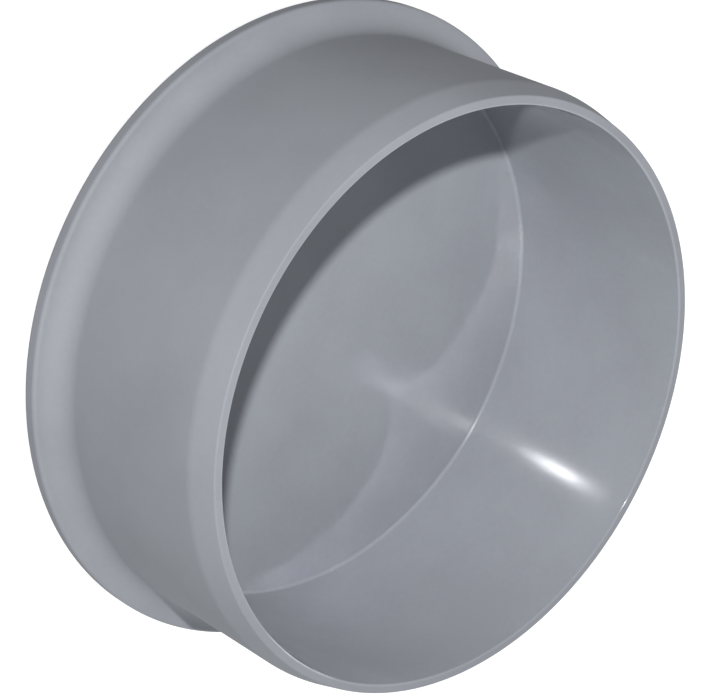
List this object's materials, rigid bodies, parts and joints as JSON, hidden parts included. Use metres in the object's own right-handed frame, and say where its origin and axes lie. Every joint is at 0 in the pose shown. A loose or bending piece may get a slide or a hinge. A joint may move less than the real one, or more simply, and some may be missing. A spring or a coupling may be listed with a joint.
{
  "type": "pipe cap",
  "caption": "Round push-in pipe cap: a closing disc with a coved collar and a plain cylindrical spigot with a tapered lead-in.",
  "frame": {"origin": "centre of the flat closed face, which is the bottom of the bounding box", "axes": "+Z along the cap's axis, from the closed face out through the open rim; X and Y are interchangeable"},
  "size_m": [0.12, 0.12, 0.0445],
  "materials": {
    "moulded_plastic": "satin"
  },
  "bodies": {
    "root": {"closing_disc": "moulded_plastic", "flange_collar": "moulded_plastic", "spigot_sleeve": "moulded_plastic", "lead_in_nose": "moulded_plastic"}
  },
  "joints": []
}
